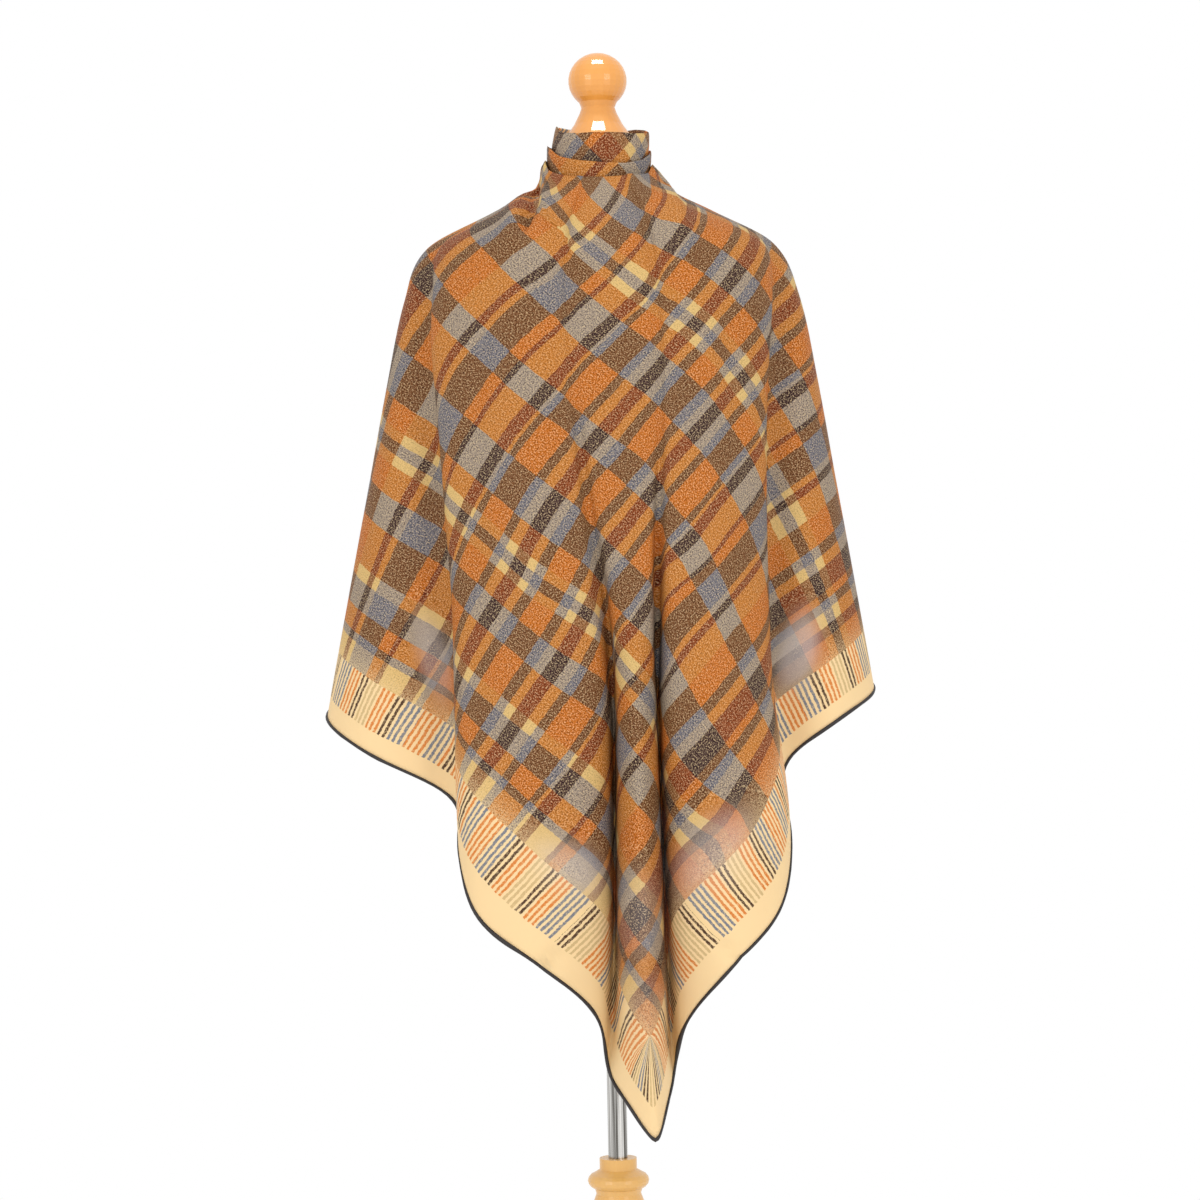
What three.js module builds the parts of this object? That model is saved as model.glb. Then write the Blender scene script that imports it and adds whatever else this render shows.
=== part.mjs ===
// A large square silk scarf worn as a cape on a limbless dress form: one corner hangs at the front, the cloth
// goes over both shoulders to the back, and its top corner is wound round the neck.
// Millimetres, +Z up, the front towards -Y, +X on the right seen from the front. The feet stand on Z = 0.
import * as THREE from "three";

// ---- driving sizes ----------------------------------------------------------------------------------
const CLOTH = 2.5; // thickness of every cloth wall
const SEAM = 0.3; // gap between two pieces that meet
const SEAM_SHARE = 1.5; // how much of it each piece gives at a cut, which leaves some to spare for the facets
const HEM_RADIUS = 2.2; // hand-rolled hem
// How far each roll lies beyond the cloth's edge, so that its chords clear it.
const HEM_EASE = { frontLeft: 1.4, frontRight: 2.3, side: 1.6, slit: 0.7 };
const HEM_SIDES = 6;
const HEM_STEPS = { front: 3, side: 2, slit: 2 }; // facets of each roll along one column or row of the cloth
const ROWS = 19; // rows of facets from the neck to the hem
const COLUMNS_PER_STRAND = 3; // columns of facets between two neighbouring strands
const ROUND = 44; // facets round the neck and the torso
const TURNED = 28; // facets round a turned piece

const TIP_HEIGHT = 411; // the front corner
const NECK_RADIUS_X = 47; // the form's neck, side to side
const NECK_RADIUS_Y = 48; // the form's neck, front to back
const NECK_TOP = 1446;
const TORSO_BASE = 742;
const POLE_RADIUS = 10.5;
const POST_TOP = 364;
const POST_BASE = 96;
const LEG_COUNT = 3;
const LEG_REACH = 250; // centre of each foot from the pole

// Rows of numbers as objects with named columns; a column in pairs takes two numbers, x and y.
function table(columns, pairs, rows) {
  return rows.map((row) => {
    const numbers = [...row];
    return Object.fromEntries(columns.map((column) =>
      [column, pairs.includes(column) ? numbers.splice(0, 2) : numbers.shift()]));
  });
}

// ---- the front panel --------------------------------------------------------------------------------
// One row for each level. The side folds, the two valleys beside the middle flute and the flute's ridge are
// x, y pairs; a bulge is how far a lobe, between a valley and a side fold, stands forward of its own chord.
const FRONT_COLUMNS = ["z", "foldL", "bulgeL", "valleyL", "ridge", "valleyR", "bulgeR", "foldR"];
const FRONT = table(FRONT_COLUMNS, ["foldL", "valleyL", "ridge", "valleyR", "foldR"], [
  [1412, -58, -14, 10, -16, -56, 6, -58, 28, -53, 9, 56, -14],
  [1402, -65, -14, 12, -18, -61, 6, -63, 31, -59, 11, 70, -13],
  [1380, -108, -22, 20, -24, -72, 8, -75, 40, -71, 18, 112, -20],
  [1345, -168, -33, 27, -34, -92, 9, -95, 50, -90, 26, 170, -32],
  [1290, -178, -58, 25, -36, -114, 11, -116, 56, -112, 24, 180, -56],
  [1230, -180, -76, 23, -34, -127, 13, -129, 58, -126, 22, 176, -72],
  [1150, -174, -86, 24, -28, -132, 17, -135, 58, -131, 24, 171, -80],
  [1060, -169, -94, 30, -16, -133, 22, -142, 54, -132, 33, 169, -88],
  [960, -163, -102, 38, -1, -127, 26, -157, 51, -126, 44, 169, -96],
  [860, -162, -114, 50, 4, -117, 28, -170, 50, -115, 60, 172, -106],
  [745, -161, -130, 62, 3, -108, 29, -182, 52, -105, 74, 185, -118],
  [640, -156, -140, 64, 1, -105, 31, -185, 54, -101, 76, 184, -130],
  [540, -150, -146, 58, -3, -110, 33, -185, 57, -106, 68, 180, -140],
  [470, -145, -150, 48, -8, -129, 36, -183, 59, -123, 56, 176, -145],
  [400, -140, -154, 38, -12, -144, 39, -181, 62, -138, 44, 172, -150],
]);
// The lobe's own strands: their share of the way from its valley to its side fold, and the share of its bulge
// that they stand forward by where the lobe is shallow and where it is deep.
const LOBE = {
  inner: { share: 0.07, shallow: 0.42, deep: 0.74 },
  crest: { share: 0.5, shallow: 1, deep: 1 },
  outer: { share: 0.89, shallow: 0.55, deep: 0.55 },
};
const LOBE_BULGES = [28, 62]; // the bulge of a shallow lobe and of a deep one
// The flute's own strands lie this share of the way from its valley to its ridge.
const FLANK = { sideways: 0.2, forwards: 0.66 };
// Towards the hem, between these two heights, the slots beside the flute open out by these shares.
const SLOTS_OPEN = {
  from: 620, to: 450,
  inner: 0.07, innerDepth: 0.2,
  flankSideways: 0.22, flankForwards: 0.14,
};

// ---- the sides and the back -------------------------------------------------------------------------
// One row for each level, for the left side: tuck is how far the cloth runs in behind the front panel's
// fold, and mid, out, blade, back and slit are x, y pairs on the way round to the free edge, which leaves the
// middle of the back at the neck and runs out to the square's side corner. The right side mirrors them, its
// width times right.
const SIDE_COLUMNS = ["z", "tuck", "mid", "out", "blade", "back", "slit", "right"];
const SIDE = table(SIDE_COLUMNS, ["mid", "out", "blade", "back", "slit"], [
  [1402, 6, -72, -5, -73, 5, -62, 34, -42, 53, -23, 63, 1.06],
  [1380, 8, -117, -5, -119, 5, -100, 34, -69, 60, -42, 72, 1.01],
  [1345, 12, -181, -9, -187, 8, -162, 52, -104, 83, -62, 93, 0.99],
  [1290, 18, -204, -22, -212, 6, -192, 62, -126, 100, -82, 109, 1.0],
  [1200, 27, -217, -38, -233, 4, -214, 72, -148, 113, -100, 122, 0.99],
  [1090, 32, -227, -50, -255, 0, -236, 78, -170, 123, -115, 134, 0.975],
  [960, 34, -239, -60, -281, -6, -258, 80, -192, 132, -131, 148, 0.96],
  [850, 38, -250, -72, -302, -14, -278, 84, -211, 139, -146, 158, 0.95],
  [750, 42, -258, -80, -318, -20, -292, 86, -226, 143, -160, 164, 0.95],
]);
// Angles of the same strands where they leave the neck, in degrees round from the front.
const NECK_ANGLES = { tuck: 80, mid: 86, out: 95, blade: 122, back: 146, slit: 166 };
const NECK_RING = [58, 60]; // the radii of the cloth's ring there, side to side and front to back

// ---- heights where each strand starts and where the hem crosses it ----------------------------------
const STRANDS = [
  { strand: "slit", topL: 1438, topR: 1432, hemL: 850, hemR: 866 },
  { strand: "back", topL: 1438, topR: 1431, hemL: 862, hemR: 878 },
  { strand: "blade", topL: 1438, topR: 1430, hemL: 862, hemR: 880 },
  { strand: "out", topL: 1437, topR: 1430, hemL: 842, hemR: 862 },
  { strand: "mid", topL: 1436, topR: 1429, hemL: 806, hemR: 832 },
  { strand: "tuck", topL: 1435, topR: 1429, hemL: 757, hemR: 787 },
  { strand: "fold", topL: 1433, topR: 1427, hemL: 706, hemR: 712 },
  { strand: "outer", topL: 1423, topR: 1419, hemL: 640, hemR: 641 },
  { strand: "crest", topL: 1415, topR: 1415, hemL: 593, hemR: 588 },
  { strand: "inner", topL: 1412, topR: 1414, hemL: 536, hemR: 518 },
  { strand: "valley", topL: 1411, topR: 1413, hemL: 474, hemR: 474 },
  { strand: "flank", topL: 1411, topR: 1412, hemL: 449, hemR: 447 },
  { strand: "ridge", topL: 1411, topR: 1411, hemL: TIP_HEIGHT, hemR: TIP_HEIGHT },
];

// ---- the two winds above the front panel: radius and height at the foot, the waist and the rim ------
const WINDS = [
  {
    name: "neck_wind_upper", foot: 1418, footRadius: 47.3, waist: 1440, waistRadius: 48.6,
    rimFront: 1459, rimBack: 1471, rimRadius: 50.4,
  },
  {
    name: "neck_wind_middle", foot: 1404, footRadius: 50.3, waist: 1418, waistRadius: 50.4,
    rimFront: 1425, rimBack: 1450, rimRadius: 53.8,
  },
];

// ---- the dress form: one row for each level of the torso --------------------------------------------
const TORSO = [
  { z: TORSO_BASE, half: 142, front: -92, back: 106, square: 2.2 },
  { z: 800, half: 152, front: -98, back: 114, square: 2.2 },
  { z: 880, half: 152, front: -101, back: 112, square: 2.2 },
  { z: 980, half: 136, front: -101, back: 98, square: 2.2 },
  { z: 1070, half: 124, front: -100, back: 88, square: 2.2 },
  { z: 1150, half: 134, front: -112, back: 92, square: 2.2 },
  { z: 1230, half: 150, front: -123, back: 100, square: 2.3 },
  { z: 1290, half: 164, front: -106, back: 98, square: 2.4 },
  { z: 1325, half: 171, front: -88, back: 92, square: 2.4 },
  { z: 1346, half: 162.6, front: -79, back: 86, square: 2.3 },
  { z: 1363, half: 139.6, front: -71, back: 80, square: 2.2 },
  { z: 1381, half: 105.6, front: -62, back: 66.4, square: 2.1 },
  { z: 1392, half: 72, front: -54, back: 56, square: 2.0 },
  { z: 1402, half: NECK_RADIUS_X, front: -NECK_RADIUS_Y, back: NECK_RADIUS_Y, square: 2.0 },
  { z: NECK_TOP, half: NECK_RADIUS_X, front: -NECK_RADIUS_Y, back: NECK_RADIUS_Y, square: 2.0 },
];

// ---- small helpers ----------------------------------------------------------------------------------
const lerp = THREE.MathUtils.lerp;
const clamp = THREE.MathUtils.clamp;
const radians = THREE.MathUtils.degToRad;

// A smooth curve through values at rising or falling heights, read at the height z.
function along(heights, values, z) {
  const last = heights.length - 1;
  const falling = heights[0] > heights[last];
  let i = 0;
  while (i < last - 1 && (falling ? z < heights[i + 1] : z > heights[i + 1])) i += 1;
  const slope = (a, b) => (values[b] - values[a]) / (heights[b] - heights[a]);
  const here = slope(i, i + 1);
  const before = i > 0 ? slope(i - 1, i + 1) : here;
  const after = i < last - 1 ? slope(i, i + 2) : here;
  const span = heights[i + 1] - heights[i];
  const t = (z - heights[i]) / span;
  const rise = values[i + 1] - values[i];
  return values[i] + t * (span * before * (1 - t) ** 2 + rise * t * (3 - 2 * t) - span * after * t * (1 - t));
}

// A closed mesh from a grid of points with their normals: half the wall's thickness lies to each side.
function wallFromGrid(grid, thickness) {
  const rows = grid.length;
  const columns = grid[0].length;
  const positions = [0.5, -0.5].flatMap((side) => grid.flat().flatMap(({ point, normal }) =>
    point.clone().addScaledVector(normal, side * thickness).toArray()));
  const outer = (i, j) => i * columns + j;
  const inner = (i, j) => rows * columns + i * columns + j;
  const index = [];
  const quad = (a, b, c, d) => index.push(a, b, c, a, c, d);
  for (let i = 0; i < rows - 1; i += 1) {
    for (let j = 0; j < columns - 1; j += 1) {
      quad(outer(i, j), outer(i + 1, j), outer(i + 1, j + 1), outer(i, j + 1));
      quad(inner(i, j), inner(i, j + 1), inner(i + 1, j + 1), inner(i + 1, j));
    }
  }
  for (let i = 0; i < rows - 1; i += 1) {
    quad(outer(i, 0), inner(i, 0), inner(i + 1, 0), outer(i + 1, 0));
    quad(outer(i + 1, columns - 1), inner(i + 1, columns - 1), inner(i, columns - 1), outer(i, columns - 1));
  }
  for (let j = 0; j < columns - 1; j += 1) {
    quad(outer(0, j + 1), inner(0, j + 1), inner(0, j), outer(0, j));
    quad(outer(rows - 1, j), inner(rows - 1, j), inner(rows - 1, j + 1), outer(rows - 1, j + 1));
  }
  return closedGeometry(positions, index);
}

// A closed mesh from rings of points, each capped by a fan round its first and last middle points.
function loftFromRings(rings) {
  const count = rings[0].length;
  const positions = rings.flat().flatMap((point) => point.toArray());
  const index = [];
  for (let i = 0; i < rings.length - 1; i += 1) {
    for (let j = 0; j < count; j += 1) {
      const next = (j + 1) % count;
      const [a, b, c, d] = [i * count + j, i * count + next, (i + 1) * count + next, (i + 1) * count + j];
      index.push(a, b, c, a, c, d);
    }
  }
  const middle = (ring) => ring.reduce((sum, p) => sum.add(p), new THREE.Vector3()).divideScalar(count);
  const foot = positions.length / 3;
  positions.push(...middle(rings[0]).toArray(), ...middle(rings[rings.length - 1]).toArray());
  const crown = (rings.length - 1) * count;
  for (let j = 0; j < count; j += 1) {
    const next = (j + 1) % count;
    index.push(foot, next, j, foot + 1, crown + j, crown + next);
  }
  return closedGeometry(positions, index);
}

function closedGeometry(positions, index) {
  const geometry = new THREE.BufferGeometry();
  geometry.setAttribute("position", new THREE.Float32BufferAttribute(positions, 3));
  geometry.setIndex(index);
  geometry.computeVertexNormals();
  return geometry;
}

// ---- materials --------------------------------------------------------------------------------------
const silkMaterial = () => new THREE.MeshStandardMaterial({ color: 0xc8813a, roughness: 0.5 });
const hemMaterial = () => new THREE.MeshStandardMaterial({ color: 0x261c18, roughness: 0.6 });
const jerseyMaterial = () => new THREE.MeshStandardMaterial({ color: 0xe6ddcd, roughness: 0.9 });
const beechMaterial = () => new THREE.MeshStandardMaterial({ color: 0xe29a42, roughness: 0.3 });
const paleWoodMaterial = () => new THREE.MeshStandardMaterial({ color: 0xe8c878, roughness: 0.3 });
const steelMaterial = () => new THREE.MeshStandardMaterial({ color: 0x8a8580, roughness: 0.3, metalness: 1 });

function piece(name, geometry, material) {
  const mesh = new THREE.Mesh(geometry, material);
  mesh.name = name;
  return mesh;
}

// ---- the strands of the cape ------------------------------------------------------------------------
// Each strand hangs from the neck to the hem. sign is -1 on the left and 1 on the right.
function frontStrand(kind, sign) {
  const side = sign < 0 ? "L" : "R";
  return FRONT.map((row) => {
    const [valley, fold, ridge] = [row["valley" + side], row["fold" + side], row.ridge];
    const between = (a, b, shareX, shareY) => [lerp(a[0], b[0], shareX), lerp(a[1], b[1], shareY)];
    const open = clamp((SLOTS_OPEN.from - row.z) / (SLOTS_OPEN.from - SLOTS_OPEN.to), 0, 1);
    if (kind === "fold") return [row.z, ...fold];
    if (kind === "valley") return [row.z, ...valley];
    if (kind === "ridge") return [row.z, ...ridge];
    if (kind === "flank") {
      const sideways = FLANK.sideways + SLOTS_OPEN.flankSideways * open;
      const forwards = FLANK.forwards - SLOTS_OPEN.flankForwards * open;
      return [row.z, ...between(valley, ridge, sideways, forwards)];
    }
    const eased = kind === "inner" ? open : 0;
    const share = LOBE[kind].share + SLOTS_OPEN.inner * eased;
    const bulge = row["bulge" + side];
    const deepness = clamp((bulge - LOBE_BULGES[0]) / (LOBE_BULGES[1] - LOBE_BULGES[0]), 0, 1);
    const swell = lerp(LOBE[kind].shallow, LOBE[kind].deep, deepness) - SLOTS_OPEN.innerDepth * eased;
    const [x, y] = between(valley, fold, share, share);
    return [row.z, x, y - bulge * swell];
  });
}

function sideStrand(kind, sign, top) {
  const angle = radians(NECK_ANGLES[kind]);
  const neck = [top, sign * NECK_RING[0] * Math.sin(angle), -NECK_RING[1] * Math.cos(angle)];
  const fold = FRONT.map((row) => row[sign < 0 ? "foldL" : "foldR"]);
  const folds = [0, 1].map((axis) => (z) => along(FRONT.map((row) => row.z), fold.map((p) => p[axis]), z));
  const below = SIDE.map((row) => {
    if (kind === "tuck") return [row.z, folds[0](row.z) + sign * 2, folds[1](row.z) + row.tuck];
    return [row.z, sign < 0 ? row[kind][0] : -row[kind][0] * row.right, row[kind][1]];
  });
  return [neck, ...below];
}

// A strand's point a given share of the way down from its top to its hem.
function strandReader({ strand, topL, topR, hemL, hemR }, sign) {
  const inFront = ["fold", "outer", "crest", "inner", "valley", "flank", "ridge"].includes(strand);
  const top = sign < 0 ? topL : topR;
  const points = inFront ? frontStrand(strand, sign) : sideStrand(strand, sign, top);
  points[0][0] = top;
  const heights = points.map((point) => point[0]);
  const hem = sign < 0 ? hemL : hemR;
  return (share) => {
    const z = lerp(top, hem, share);
    return new THREE.Vector3(
      along(heights, points.map((p) => p[1]), z),
      along(heights, points.map((p) => p[2]), z),
      z,
    );
  };
}

const CAPE = [
  ...STRANDS.map((row) => strandReader(row, -1)),
  ...STRANDS.slice(0, -1).reverse().map((row) => strandReader(row, 1)),
];
const RIDGE_STRAND = STRANDS.length - 1;
const INNER_STRAND = STRANDS.findIndex((row) => row.strand === "inner");
const TUCK_STRAND = STRANDS.findIndex((row) => row.strand === "tuck");
const OUT_STRAND = STRANDS.findIndex((row) => row.strand === "out");

// One row of the cape, as a smooth curve across all strands.
function capeRow(share) {
  return new THREE.CatmullRomCurve3(CAPE.map((read) => read(share)), false, "centripetal");
}

// The rows are closer together at the shoulders than at the hem.
const rowShares = () => Array.from({ length: ROWS + 1 }, (_, i) => (i / ROWS) ** 1.2);

// The grid of points between two strands, drawn in by half a seam at each cut side.
function capeGrid(from, to) {
  const columns = Math.max(2, Math.round((to - from) * COLUMNS_PER_STRAND));
  const last = CAPE.length - 1;
  const nudge = 0.004;
  return rowShares().map((share) => {
    const [curve, above, below] = [share, share - nudge, share + nudge].map((at) => capeRow(clamp(at, 0, 1)));
    return Array.from({ length: columns + 1 }, (_, j) => {
      const place = lerp(from, to, j / columns) / last;
      const point = curve.getPoint(place);
      const across = curve.getTangent(place);
      const normal = below.getPoint(place).sub(above.getPoint(place)).cross(across).normalize();
      if (j === 0 && from > 0) point.addScaledVector(across, SEAM * SEAM_SHARE);
      if (j === columns && to < last) point.addScaledVector(across, -SEAM * SEAM_SHARE);
      return { point, normal };
    });
  });
}

// ---- the cape's pieces and their rolled hems --------------------------------------------------------
const WALL_CUT = 0.5; // the front's cuts lie half-way along the walls behind its side folds and its lobes
const BACK_CUT = 0.6; // and a little behind each side's outline
const CUTS = {
  scarf_back_left: [0, OUT_STRAND - BACK_CUT],
  scarf_side_left: [OUT_STRAND - BACK_CUT, TUCK_STRAND + WALL_CUT],
  scarf_front_left: [TUCK_STRAND + WALL_CUT, INNER_STRAND + WALL_CUT],
  scarf_front_middle: [INNER_STRAND + WALL_CUT, 2 * RIDGE_STRAND - INNER_STRAND - WALL_CUT],
  scarf_front_right: [2 * RIDGE_STRAND - INNER_STRAND - WALL_CUT, 2 * RIDGE_STRAND - TUCK_STRAND - WALL_CUT],
  scarf_side_right: [2 * RIDGE_STRAND - TUCK_STRAND - WALL_CUT, 2 * RIDGE_STRAND - OUT_STRAND + BACK_CUT],
  scarf_back_right: [2 * RIDGE_STRAND - OUT_STRAND + BACK_CUT, 2 * RIDGE_STRAND],
};

function capePieces() {
  return Object.entries(CUTS).map(([name, [from, to]]) =>
    piece(name, wallFromGrid(capeGrid(from, to), CLOTH), silkMaterial()));
}

// A roll of cloth along an edge, set just beyond it; inside holds the points a little way in from the edge.
function rolledHem(edge, inside, ease, steps) {
  const reach = HEM_RADIUS + ease;
  const beside = (list, i) => [list[Math.max(i - 1, 0)], list[Math.min(i + 1, list.length - 1)]];
  const outward = edge.map((point, i) => {
    const [before, after] = beside(edge, i);
    return point.clone().sub(inside[i]).projectOnPlane(after.clone().sub(before).normalize()).normalize();
  });
  const path = edge.map((point, i) => {
    const [before, after] = beside(outward, i);
    const eased = outward[i].clone().add(before).add(after).normalize();
    return point.clone().addScaledVector(eased, reach);
  });
  const section = new THREE.Shape();
  for (let i = 0; i < HEM_SIDES; i += 1) {
    const angle = (2 * Math.PI * (i + 0.5)) / HEM_SIDES;
    const [x, y] = [HEM_RADIUS * Math.cos(angle), HEM_RADIUS * Math.sin(angle)];
    if (i === 0) section.moveTo(x, y);
    else section.lineTo(x, y);
  }
  section.closePath();
  const curve = new THREE.CatmullRomCurve3(path, false, "centripetal");
  const options = { steps: steps * (path.length - 1), bevelEnabled: false, extrudePath: curve };
  return new THREE.ExtrudeGeometry(section, options);
}

// A roll along the bottom; its joints lie on the cloth's own columns, which start at the strand number first.
function bottomHem({ from, to, first, ease, steps }) {
  const columns = Math.round((to - from) * COLUMNS_PER_STRAND);
  const last = CAPE.length - 1;
  const [hemRow, rowAbove] = [capeRow(1), capeRow(0.99)];
  const joints = Array.from({ length: columns - 1 }, (_, j) => first + (j + 1) / COLUMNS_PER_STRAND);
  const places = [from, ...joints, to].map((strand) => strand / last);
  const [edge, inside] = [hemRow, rowAbove].map((row) => places.map((u) => row.getPoint(u)));
  return rolledHem(edge, inside, ease, steps);
}

function slitHem(strand) {
  const last = CAPE.length - 1;
  const shares = rowShares().filter((share) => share > 0.02 && share < 0.99);
  const inside = strand === 0 ? 0.1 : last - 0.1;
  return rolledHem(
    shares.map((share) => capeRow(share).getPoint(strand / last)),
    shares.map((share) => capeRow(share).getPoint(inside / last)),
    HEM_EASE.slit,
    HEM_STEPS.slit,
  );
}

function hemPieces() {
  const trim = 0.02; // keeps two rolls that meet end to end apart
  const tip = 0.12; // where the two front rolls stop, either side of the ridge
  const [cutL, cutR] = [TUCK_STRAND + WALL_CUT, 2 * RIDGE_STRAND - TUCK_STRAND - WALL_CUT];
  const { frontLeft, frontRight, side } = HEM_EASE;
  const bottom = {
    hem_side_left: { from: 0.06, to: cutL - trim, first: 0, ease: side, steps: HEM_STEPS.side },
    hem_front_left: {
      from: cutL + trim, to: RIDGE_STRAND - tip, first: cutL, ease: frontLeft, steps: HEM_STEPS.front,
    },
    hem_front_right: {
      from: RIDGE_STRAND + tip, to: cutR - trim, first: RIDGE_STRAND + 1 / 6,
      ease: frontRight, steps: HEM_STEPS.front,
    },
    hem_side_right: {
      from: cutR + trim, to: 2 * RIDGE_STRAND - 0.06, first: cutR, ease: side, steps: HEM_STEPS.side,
    },
  };
  return [
    ...Object.entries(bottom).map(([name, roll]) => piece(name, bottomHem(roll), hemMaterial())),
    piece("hem_back_left", slitHem(0), hemMaterial()),
    piece("hem_back_right", slitHem(2 * RIDGE_STRAND), hemMaterial()),
  ];
}

// ---- the winds round the neck -----------------------------------------------------------------------
function neckWind({ foot, footRadius, waist, waistRadius, rimFront, rimBack, rimRadius }) {
  const oval = NECK_RADIUS_Y / NECK_RADIUS_X;
  const levels = (angle) => {
    const rim = lerp(rimFront, rimBack, (1 - Math.cos(angle)) / 2);
    return [[footRadius, foot], [waistRadius, waist], [rimRadius, rim]];
  };
  const ring = (level, out) => Array.from({ length: ROUND }, (_, i) => {
    const angle = (2 * Math.PI * i) / ROUND;
    const [radius, z] = levels(angle)[level];
    return new THREE.Vector3((radius + out) * Math.sin(angle), -(radius * oval + out) * Math.cos(angle), z);
  });
  const rings = [ring(0, 0), ring(0, CLOTH), ring(1, CLOTH), ring(2, CLOTH), ring(2, 0), ring(1, 0)];
  const positions = rings.flat().flatMap((point) => point.toArray());
  const index = [];
  for (let i = 0; i < rings.length; i += 1) {
    for (let j = 0; j < ROUND; j += 1) {
      const next = (j + 1) % ROUND;
      const above = (i + 1) % rings.length;
      const [a, b, c, d] = [i * ROUND + j, i * ROUND + next, above * ROUND + next, above * ROUND + j];
      index.push(a, b, c, a, c, d);
    }
  }
  return closedGeometry(positions, index);
}

// ---- the dress form and its stand -------------------------------------------------------------------
function torso() {
  const rings = TORSO.map(({ z, half, front, back, square }) =>
    Array.from({ length: ROUND }, (_, i) => {
      const angle = (2 * Math.PI * i) / ROUND;
      const [across, depth] = [Math.sin(angle), -Math.cos(angle)];
      const rounded = (value) => Math.sign(value) * Math.abs(value) ** (2 / square);
      return new THREE.Vector3(half * rounded(across), (depth < 0 ? -front : back) * rounded(depth), z);
    }));
  return loftFromRings(rings);
}

// A turned piece from its profile of [radius, height] points, closed on the axis.
function turned(profile) {
  const points = [[0, profile[0][1]], ...profile, [0, profile[profile.length - 1][1]]];
  const geometry = new THREE.LatheGeometry(points.map(([r, z]) => new THREE.Vector2(r, z)), TURNED);
  return geometry.rotateX(Math.PI / 2);
}

function arc(centre, radii, fromDegrees, toDegrees, steps) {
  return Array.from({ length: steps + 1 }, (_, i) => {
    const angle = radians(lerp(fromDegrees, toDegrees, i / steps));
    return [centre[0] + radii[0] * Math.cos(angle), centre[1] + radii[1] * Math.sin(angle)];
  });
}

function finial() {
  const foot = NECK_TOP + SEAM;
  return turned([
    [43, foot], [44.5, foot + 2], [44, foot + 6], [40, foot + 10],
    [34, foot + 17], [26, foot + 28], [20, foot + 40], [18, foot + 46],
    ...arc([0, 1521], [31.5, 30], -50, 84, 12),
  ]);
}

function post() {
  return turned([
    [24, POST_BASE], [30, POST_BASE + 4], [30, 150], [26, 156],
    ...arc([20, 172], [12, 12], -60, 60, 6),
    [21, 190], [19, 215], [22, 262], [27, 300], [27, 318], [24, 326],
    ...arc([22, 340], [11, 9], -70, 70, 6),
    [20, 352], [20, POST_TOP],
  ]);
}

function pole() {
  const length = TORSO_BASE - POST_TOP - 2 * SEAM;
  const geometry = new THREE.CylinderGeometry(POLE_RADIUS, POLE_RADIUS, length, 32);
  return geometry.rotateX(Math.PI / 2).translate(0, 0, POST_TOP + SEAM + length / 2);
}

// A curved wooden leg that leaves the post and ends in a flat foot.
function leg(index) {
  const outline = new THREE.Shape();
  outline.moveTo(30 + SEAM, 148);
  outline.bezierCurveTo(90, 150, 150, 60, LEG_REACH - 28, 34);
  outline.lineTo(LEG_REACH + 26, 30);
  outline.absarc(LEG_REACH + 26, 15, 15, Math.PI / 2, -Math.PI / 2, true);
  outline.lineTo(LEG_REACH - 26, 0);
  outline.bezierCurveTo(150, 6, 90, 84, 30 + SEAM, 102);
  outline.closePath();
  const depth = 32;
  const geometry = new THREE.ExtrudeGeometry(outline, { depth, bevelEnabled: false, curveSegments: 10 });
  geometry.translate(0, 0, -depth / 2).rotateX(Math.PI / 2);
  return geometry.rotateZ(radians(-90 + (360 / LEG_COUNT) * index));
}

function formPieces() {
  const legs = Array.from({ length: LEG_COUNT }, (_, i) =>
    piece(`stand_leg_${i + 1}`, leg(i), paleWoodMaterial()));
  return [
    piece("form_torso", torso(), jerseyMaterial()),
    piece("form_finial", finial(), beechMaterial()),
    piece("stand_pole", pole(), steelMaterial()),
    piece("stand_post", post(), paleWoodMaterial()),
    ...legs,
  ];
}

const scarfOnForm = new THREE.Group();
scarfOnForm.add(...capePieces(), ...hemPieces());
scarfOnForm.add(...WINDS.map((wind) => piece(wind.name, neckWind(wind), silkMaterial())));
scarfOnForm.add(...formPieces());

// The origin is the middle of the whole object's base, so the pole stands a little off it.
const middle = new THREE.Box3().setFromObject(scarfOnForm, true).getCenter(new THREE.Vector3());
scarfOnForm.position.set(-middle.x, -middle.y, 0);
scarfOnForm.updateMatrixWorld(true);

export default scarfOnForm;
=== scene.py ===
import math

import bpy
import numpy as np
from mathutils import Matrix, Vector
from mathutils.bvhtree import BVHTree


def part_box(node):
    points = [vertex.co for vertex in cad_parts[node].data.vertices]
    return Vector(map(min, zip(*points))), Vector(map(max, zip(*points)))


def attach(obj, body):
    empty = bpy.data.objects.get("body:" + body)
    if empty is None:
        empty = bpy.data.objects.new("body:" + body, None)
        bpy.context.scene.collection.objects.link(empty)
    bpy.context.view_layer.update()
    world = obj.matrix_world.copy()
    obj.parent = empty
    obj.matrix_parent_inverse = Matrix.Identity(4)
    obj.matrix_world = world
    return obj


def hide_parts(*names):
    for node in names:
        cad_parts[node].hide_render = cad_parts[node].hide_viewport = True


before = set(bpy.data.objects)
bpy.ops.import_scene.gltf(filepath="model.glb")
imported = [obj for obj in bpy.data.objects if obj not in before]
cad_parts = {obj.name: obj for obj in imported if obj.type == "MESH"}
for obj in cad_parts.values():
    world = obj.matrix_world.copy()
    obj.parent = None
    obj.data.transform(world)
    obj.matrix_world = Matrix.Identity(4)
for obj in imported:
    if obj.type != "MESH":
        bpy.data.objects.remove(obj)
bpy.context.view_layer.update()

MM = 0.001
SIDE_LENGTH = 960.0  # the square's side
CLOTH = 1.0  # thickness of the shell
ROWS = 150
COLUMNS = 10  # columns between two strands
HOLD = 7.0  # how firmly the listed crossings are kept
HEM_RADIUS = 1.7

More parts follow.
